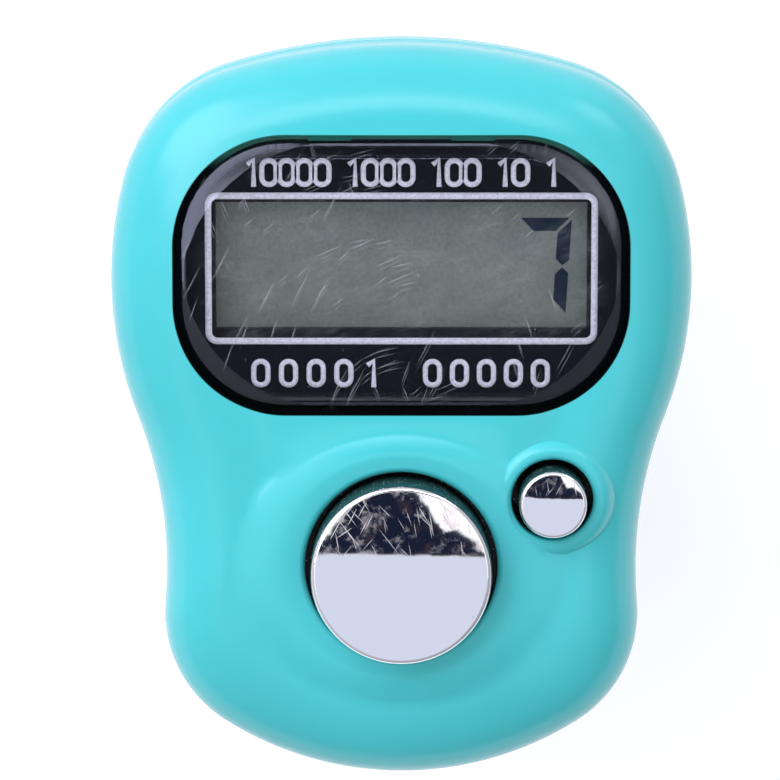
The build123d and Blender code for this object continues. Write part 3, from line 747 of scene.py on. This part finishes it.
def segment_outlines(x, y, sizes, names):
    """Outlines of a digit's segments round its middle. Names as on any such display."""
    half, tall = sizes.digit_width / 2, sizes.digit_height / 2
    bar, gap = sizes.segment_width, sizes.segment_gap
    lean = math.tan(sizes.slant)
    side = [(half, tall - gap), (half, bar * 0.4 + gap / 2), (half - bar / 2, gap / 2),
            (half - bar, bar * 0.5 + gap / 2), (half - bar, tall - bar - gap)]
    cap = [(-half + gap, tall), (half - gap, tall), (half - gap - bar, tall - bar),
           (-half + gap + bar, tall - bar)]
    middle = [(-half + bar * 0.6 + gap, 0), (-half + bar + gap, bar / 2),
              (half - bar - gap, bar / 2), (half - bar * 0.6 - gap, 0),
              (half - bar - gap, -bar / 2), (-half + bar + gap, -bar / 2)]
    shapes = {"a": (cap, 1, 1), "b": (side, 1, 1), "c": (side, 1, -1), "d": (cap, 1, -1),
              "e": (side, -1, -1), "f": (side, -1, 1), "g": (middle, 1, 1)}
    outlines = []
    for name in names:
        shape, across, along = shapes[name]
        points = [(across * px, along * py) for px, py in shape]
        if across * along < 0:
            points.reverse()
        outlines.append([(x + px + lean * py, y + py) for px, py in reversed(points)])
    return outlines


def row_tree(material):
    """Node group that repeats a shape in a row."""
    tree, start, end = new_tree("row_of_digits", Count="Int", Pitch="Float")
    step = tree.nodes.new("ShaderNodeCombineXYZ")
    line = tree.nodes.new("GeometryNodeMeshLine")
    spread = tree.nodes.new("GeometryNodeInstanceOnPoints")
    link_all(tree, (start, "Pitch", step, "X"), (start, "Count", line, "Count"),
             (step, "Vector", line, "Offset"), (line, "Mesh", spread, "Points"),
             (start, "Geometry", spread, "Instance"))
    painted(tree, spread, "Instances", material, end)
    return tree


class CounterCase(bpy.types.PropertyGroup):
    teal: FloatVectorProperty(name="Teal", description="Colour of the case and the strap",
                              subtype="COLOR", default=(0.066, 0.600, 0.605), min=0, max=1)
    gloss: FloatProperty(name="Roughness", description="Roughness of the glossy case",
                         default=0.2, min=0, max=1)
    count_hole: FloatProperty(name="Count hole", description="Radius of the count button's hole",
                              unit="LENGTH", default=5.42 * MM)
    reset_hole: FloatProperty(name="Reset hole", description="Radius of the reset button's hole",
                              unit="LENGTH", default=2.3 * MM)
    window_corner: FloatProperty(name="Window corner", description="Corner radius of the window",
                                 unit="LENGTH", default=5.9 * MM)
    window_gap: FloatProperty(name="Window gap", description="Gap between window and case",
                              unit="LENGTH", default=0.4 * MM)
    window_lean: FloatProperty(name="Window lean", description="Lean of the window's face",
                               subtype="ANGLE", default=math.radians(-16.3))
    window_dome: FloatProperty(name="Window dome", description="Radius of the window's face",
                               unit="LENGTH", default=400 * MM)
    corner_start: FloatProperty(name="Corner start", description="Where the corners fall away",
                                unit="LENGTH", default=8.6 * MM)
    corner_fall: FloatProperty(name="Corner fall", description="Slope of the window's corners",
                               subtype="ANGLE", default=math.radians(30))


class CounterPrint(bpy.types.PropertyGroup):
    ink: FloatVectorProperty(name="Ink", description="Colour of the printed line and numbers",
                             subtype="COLOR", default=(0.52, 0.53, 0.63), min=0, max=1)
    line_width: FloatProperty(name="Line width", description="Width of the line round the display",
                              unit="LENGTH", default=0.37 * MM)
    line_across: FloatProperty(name="Line across", description="Width inside which the line runs",
                               unit="LENGTH", default=22.06 * MM)
    line_along: FloatProperty(name="Line along", description="Height inside which the line runs",
                              unit="LENGTH", default=8.6 * MM)
    line_corner: FloatProperty(name="Line corner", description="Radius of the line's corners",
                               unit="LENGTH", default=0.5 * MM)
    number_height: FloatProperty(name="Number height", description="Height of the printed numbers",
                                 unit="LENGTH", default=1.6 * MM)
    number_stroke: FloatProperty(name="Number stroke", description="Width of a number's stroke",
                                 unit="LENGTH", default=0.29 * MM)
    line_y: FloatProperty(name="Line's middle", description="Middle of the line's loop",
                          unit="LENGTH", default=8.57 * MM)
    above_y: FloatProperty(name="Numbers above", description="Middle of the numbers above",
                           unit="LENGTH", default=14.0 * MM)
    below_y: FloatProperty(name="Numbers below", description="Middle of the numbers below",
                           unit="LENGTH", default=2.62 * MM)


class CounterDisplay(bpy.types.PropertyGroup):
    film: FloatVectorProperty(name="Film", description="Grey-green of the display", subtype="COLOR",
                              default=(0.130, 0.154, 0.139), min=0, max=1)
    segment: FloatVectorProperty(name="Segment", description="Colour of a segment that is on",
                                 subtype="COLOR", default=(0.010, 0.018, 0.034), min=0, max=1)
    digit_width: FloatProperty(name="Digit width", description="Width of one digit",
                               unit="LENGTH", default=3.0 * MM)
    digit_height: FloatProperty(name="Digit height", description="Height of one digit",
                                unit="LENGTH", default=5.55 * MM)
    segment_width: FloatProperty(name="Segment width", description="Width of one segment",
                                 unit="LENGTH", default=0.76 * MM)
    segment_gap: FloatProperty(name="Segment gap", description="Gap between two segments",
                               unit="LENGTH", default=0.12 * MM)
    slant: FloatProperty(name="Slant", description="Lean of the digits", subtype="ANGLE",
                         default=math.radians(3.4))
    pitch: FloatProperty(name="Pitch", description="Distance from one digit to the next",
                         unit="LENGTH", default=4.05 * MM)
    places: IntProperty(name="Places", description="Number of digits", default=5, min=1)
    last_x: FloatProperty(name="Last digit", description="Middle of the last digit across",
                          unit="LENGTH", default=7.96 * MM)
    digit_y: FloatProperty(name="Digit height above middle", description="Middle of the digits",
                           unit="LENGTH", default=8.48 * MM)


class CounterButtons(bpy.types.PropertyGroup):
    chrome: FloatVectorProperty(name="Chrome", description="Colour of the plating",
                                subtype="COLOR", default=(0.90, 0.90, 0.92), min=0, max=1)
    # Below these drops each button's side is painted dark, a painted reflection of the hole's wall,
    # with dust specks on it
    count_drop: FloatProperty(name="Count side", description="Drop from the count button's top "
                              "to its dusty side", unit="LENGTH", default=0.42 * MM)
    reset_drop: FloatProperty(name="Reset side", description="Drop from the reset button's top "
                              "to its dusty side", unit="LENGTH", default=0.2 * MM)
    dome_level: FloatProperty(name="Dome level", description="Upward part of the normal above "
                              "which a face belongs to the dome", default=0.989)


class CounterStage(bpy.types.PropertyGroup):
    distance: FloatProperty(name="Camera distance", description="From the parting line",
                            unit="LENGTH", default=0.255)
    lean: FloatProperty(name="Lean", description="Camera's lean towards the display end",
                        subtype="ANGLE", default=math.radians(9.5))
    side_lean: FloatProperty(name="Side lean", description="Camera's lean towards the left",
                             subtype="ANGLE", default=math.radians(-0.2))
    lens: FloatProperty(name="Lens", description="Focal length in millimetres", default=203.9)
    key: FloatProperty(name="Key light", description="Power of the soft box on the upper left",
                       unit="POWER", default=0.1)
    key_size: FloatProperty(name="Key size", description="Side of the soft box",
                            unit="LENGTH", default=0.28)
    key_place: FloatVectorProperty(name="Key place", description="Middle of the soft box",
                                   subtype="TRANSLATION", default=(-0.30, 0.22, 0.42))
    aim_x: FloatProperty(name="Aim across", description="Where the camera looks, across",
                         unit="LENGTH", default=-0.657 * MM)
    aim_y: FloatProperty(name="Aim along", description="Where the camera looks, along",
                         unit="LENGTH", default=0.723 * MM)


class COUNTER_OT_case(bpy.types.Operator):
    """Finish of the front and rear shell"""
    bl_idname = "counter.case"
    bl_label = "Case"

    def execute(self, context):
        dress("front_shell", "rear_shell")
        return {"FINISHED"}


class COUNTER_OT_strap(bpy.types.Operator):
    """Finish of both halves of the finger strap"""
    bl_idname = "counter.strap"
    bl_label = "Finger strap"

    def execute(self, context):
        dress("strap_long", "strap_short")
        return {"FINISHED"}


class COUNTER_OT_window(bpy.types.Operator):
    """Clear lens with the black print behind it"""
    bl_idname = "counter.window"
    bl_label = "Window"

    def execute(self, context):
        dress("display_window", "window_mask")
        return {"FINISHED"}


class COUNTER_OT_print(bpy.types.Operator):
    """White line round the display and rows of plain numbers"""
    bl_idname = "counter.print"
    bl_label = "Printed line and numbers"

    def execute(self, context):
        sizes = context.scene.counter_print
        ink = white_ink()
        mask_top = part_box("window_mask")[1].z
        lens_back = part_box("display_window")[0].z
        level = (mask_top + lens_back) / 2
        thickness = lens_back - mask_top - 2 * CLEARANCE
        loop = rounded_loop(0, sizes.line_y, sizes.line_across - sizes.line_width,
                            sizes.line_along - sizes.line_width, sizes.line_corner)
        line = inked([(loop, True)], level, sizes.line_width, thickness, ink)
        add_piece("window_line", line, ink)
        rows = []
        for words, left, right, y in (
                (("10000", "1000", "100", "10", "1"), -8.9, 8.9, sizes.above_y),
                (("00001",), -8.7, -0.9, sizes.below_y), (("00000",), 1.0, 8.6, sizes.below_y)):
            rows += number_row(words, left * MM, right * MM, y, sizes.number_height)
        numbers = inked(rows, level, sizes.number_stroke, thickness, ink)
        add_piece("window_numbers", numbers, ink)
        return {"FINISHED"}


class COUNTER_OT_display(bpy.types.Operator):
    """Display stack, its frame and its digits"""
    bl_idname = "counter.display"
    bl_label = "Display"

    def execute(self, context):
        dress("lcd_frame", "lcd_front_polariser", "lcd_front_glass", "lcd_rear_glass",
              "lcd_rear_polariser", "lcd_backing_pad", "zebra_strip")
        sizes = context.scene.counter_display
        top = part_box("lcd_front_polariser")[1].z
        low, high = top + CLEARANCE, top + 5 * CLEARANCE
        lit = plates(segment_outlines(sizes.last_x, sizes.digit_y, sizes, "abc"), low, high)
        add_piece("display_digit", lit, segment_ink())

        ghost = ghost_ink()
        first_x = sizes.last_x - (sizes.places - 1) * sizes.pitch
        shape = plates(segment_outlines(first_x, sizes.digit_y, sizes, "abcdefg"), low, high)
        source = bpy.data.objects.new("ghost_source", shape)
        context.scene.collection.objects.link(source)
        modifier = source.modifiers.new("row", "NODES")
        modifier.node_group = row_tree(ghost)
        set_inputs(modifier, Count=sizes.places - 1, Pitch=sizes.pitch)
        add_piece("display_ghosts", plain_mesh(source), ghost)
        return {"FINISHED"}


class COUNTER_OT_buttons(bpy.types.Operator):
    """Chromed count and reset buttons"""
    bl_idname = "counter.buttons"
    bl_label = "Buttons"

    def execute(self, context):
        buttons = "count_button", "reset_button"
        dress(*buttons)
        level = context.scene.counter_buttons.dome_level
        for name in buttons:
            set_inputs(frame["nodes"][name].modifiers["smooth_faces"], Level=level)
        return {"FINISHED"}


class COUNTER_OT_inside(bpy.types.Operator):
    """Board, switches, cell, contacts and screws"""
    bl_idname = "counter.inside"
    bl_label = "Board, switches and cell"

    def execute(self, context):
        switches = [f"{button}_switch_{piece}" for button in ("count", "reset")
                    for piece in ("base", "terminals", "dome", "plunger", "cover")]
        dress("circuit_board", "chip_blob", "chip_parts", "cell_can", "cell_cap", "cell_seal",
              "positive_clip", "negative_contact", "case_screws", "board_screws", *switches)
        return {"FINISHED"}


def stage_floor(level, reach=3.0):
    """Wide pale floor that keeps the object's shadow."""
    mesh = bpy.data.meshes.new("floor")
    corners = (-reach, -reach), (reach, -reach), (reach, reach), (-reach, reach)
    mesh.from_pydata([(x, y, level) for x, y in corners], [], [(0, 1, 2, 3)])
    material, f = new_finish("floor")
    matt = f.surface(Base_Color=(0.55, 0.55, 0.56, 1), Roughness=0.9, Specular_IOR_Level=0.0)
    glow = f.node("ShaderNodeEmission", None, {"Color": (1, 1, 1, 1), "Strength": 0.63})
    nothing = f.node("ShaderNodeEmission", None, {"Strength": 0.0})
    seen = f.rays("Is Camera Ray", "Is Glossy Ray", "Is Transmission Ray")
    lit = f.node("ShaderNodeMixShader", None, (seen, nothing, glow))
    f.finish(f.node("ShaderNodeAddShader", None, (matt, lit)))
    mesh.materials.append(material)
    floor = bpy.data.objects.new("floor", mesh)
    bpy.context.scene.collection.objects.link(floor)


def soft_box(name, place, aim, size, power):
    """Square area lamp that faces a point."""
    lamp = bpy.data.lights.new(name, "AREA")
    lamp.size, lamp.energy = size, power
    box = bpy.data.objects.new(name, lamp)
    box.location = place
    box.rotation_euler = (Vector(aim) - Vector(place)).to_track_quat("-Z", "Y").to_euler()
    bpy.context.scene.collection.objects.link(box)


def studio_world():
    """Pale room, with the dark shape of what stands behind the camera overhead."""
    world = bpy.data.worlds.new("studio")
    world.use_nodes = True
    bpy.context.scene.world = world
    f = Finish(world.node_tree)
    heading = f.node("ShaderNodeTexCoord", out="Generated")
    way = f.node("ShaderNodeSeparateXYZ", None, (heading,))
    x, y, up = way.output("X"), way.output("Y"), way.output("Z")
    rise = up.maths("MAXIMUM", 0.05)
    across, along = x / rise, y / rise
    ragged = f.grain(0.06, 4, 0.7, heading) - 0.5

    def hump(middle, width, height):
        """Rounded rise of the dark shape's far edge."""
        offset = abs(across - middle) / width
        return height * (0 - offset * offset * offset).maths("EXPONENT")

    # Overhead: pale ceiling, dark shape with brown in it, and a whiter part beyond it
    pale, white = (0.72, 0.75, 0.90), (1.15, 1.15, 1.18)
    black, brown = (0.010, 0.014, 0.035), (0.05, 0.035, 0.045)
    spread = across * across
    edge = -0.1365 - 6 * spread * spread - 0.02 * across + ragged * 0.02
    crest = edge + hump(-0.03, 0.17, 0.185) + hump(0.185, 0.045, 0.045) + ragged * 0.025
    shape = (along - edge).above(0, 0.006) * (crest - along).above(0.004, 0.006)
    ceiling = f.mix((along - edge).above(0, 0.01), pale, white)
    ceiling = f.mix(shape, ceiling, f.mix(ragged.above(0.1, 0.1), black, brown))

    # Walls, brighter on the upper left
    shade, light = (0.06, 0.06, 0.08), (0.98, 0.98, 1.05)
    slope = 0.20 * y - 0.15 * x
    walls = f.mix((0.55 + slope).maths("ADD", 0, clamp=True), shade, light)
    room = f.mix(up.above(0.82, 0.09), walls, ceiling)

    # Soft boxes: one on the right, one over the display end and one at its left corner
    flat = (x * x + y * y).maths("SQRT").maths("MAXIMUM", 0.01)
    toward = (0.883 * y - 0.469 * x) / flat
    overhead_box = toward.above(0.60, 0.25) * up.above(0.69, 0.08) * (0.85 - up).above(0, 0.06)
    corner_box = (0.646 * y - 0.602 * x + 0.469 * up).above(0.935, 0.05)
    side_box = (0.766 * y + 0.543 * x + 0.344 * up).above(0.985, 0.02)
    room = f.mix(side_box, room, (2.9, 2.9, 3.1))
    room = f.mix(overhead_box.maths("MAXIMUM", corner_box), room, (3.7, 3.8, 4.6))

    # Dark hood that the leaning window reflects
    aside, ahead = across / 0.36, (along - 0.45) / 0.21
    hood = (1 - aside * aside - ahead * ahead).above(0.1, 0.4)
    room = f.mix(hood * up.above(0, 0.1), room, (0.03, 0.03, 0.05))
    room = f.mix(f.rays("Is Camera Ray", "Is Transmission Ray"), room, (1, 1, 1))
    f.finish(f.node("ShaderNodeBackground", None, {"Color": room, "Strength": 1.0}),
             "ShaderNodeOutputWorld")


class COUNTER_OT_stage(bpy.types.Operator):
    """Floor, lights, room and camera"""
    bl_idname = "counter.stage"
    bl_label = "Stage"

    def execute(self, context):
        sizes = context.scene.counter_stage
        stage_floor(cad_box[0].z)
        studio_world()
        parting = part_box("front_shell")[0].z
        soft_box("key", sizes.key_place, (0, 0, parting), sizes.key_size, sizes.key)
        toward = Vector((-math.sin(sizes.side_lean), math.sin(sizes.lean),
                         math.cos(sizes.lean))).normalized()
        aim = Vector((sizes.aim_x, sizes.aim_y, parting))
        camera = bpy.data.objects.new("camera", bpy.data.cameras.new("camera"))
        camera.data.lens = sizes.lens
        camera.data.clip_start = 0.01
        camera.location = aim + toward * sizes.distance
        across = Vector((0, 1, 0)).cross(toward).normalized()
        upward = toward.cross(across)
        camera.rotation_euler = Matrix((across, upward, toward)).transposed().to_euler()
        context.scene.collection.objects.link(camera)
        context.scene.camera = camera
        context.scene.view_settings.view_transform = "Standard"
        return {"FINISHED"}


class COUNTER_PT_panel(bpy.types.Panel):
    """Lists the pieces of the counter"""
    bl_label = "Tally counter"
    bl_idname = "COUNTER_PT_panel"
    bl_space_type = "VIEW_3D"
    bl_region_type = "UI"
    bl_category = "Counter"

    def draw(self, context):
        for operator in OPERATORS:
            self.layout.operator(operator.bl_idname)


OPERATORS = (COUNTER_OT_case, COUNTER_OT_strap, COUNTER_OT_window, COUNTER_OT_print,
             COUNTER_OT_display, COUNTER_OT_buttons, COUNTER_OT_inside, COUNTER_OT_stage)
GROUPS = {"counter_case": CounterCase, "counter_print": CounterPrint,
          "counter_display": CounterDisplay, "counter_buttons": CounterButtons,
          "counter_stage": CounterStage}


def register():
    for kind in (*GROUPS.values(), *OPERATORS, COUNTER_PT_panel):
        bpy.utils.register_class(kind)
    for name, group in GROUPS.items():
        setattr(bpy.types.Scene, name, PointerProperty(type=group))


def unregister():
    for name in GROUPS:
        delattr(bpy.types.Scene, name)
    for kind in (*GROUPS.values(), *OPERATORS, COUNTER_PT_panel):
        bpy.utils.unregister_class(kind)


def main():
    register()
    bpy.ops.counter.case()
    bpy.ops.counter.strap()
    bpy.ops.counter.window()
    bpy.ops.counter.print()
    bpy.ops.counter.display()
    bpy.ops.counter.buttons()
    bpy.ops.counter.inside()
    bpy.ops.counter.stage()


if __name__ == "__main__":
    main()
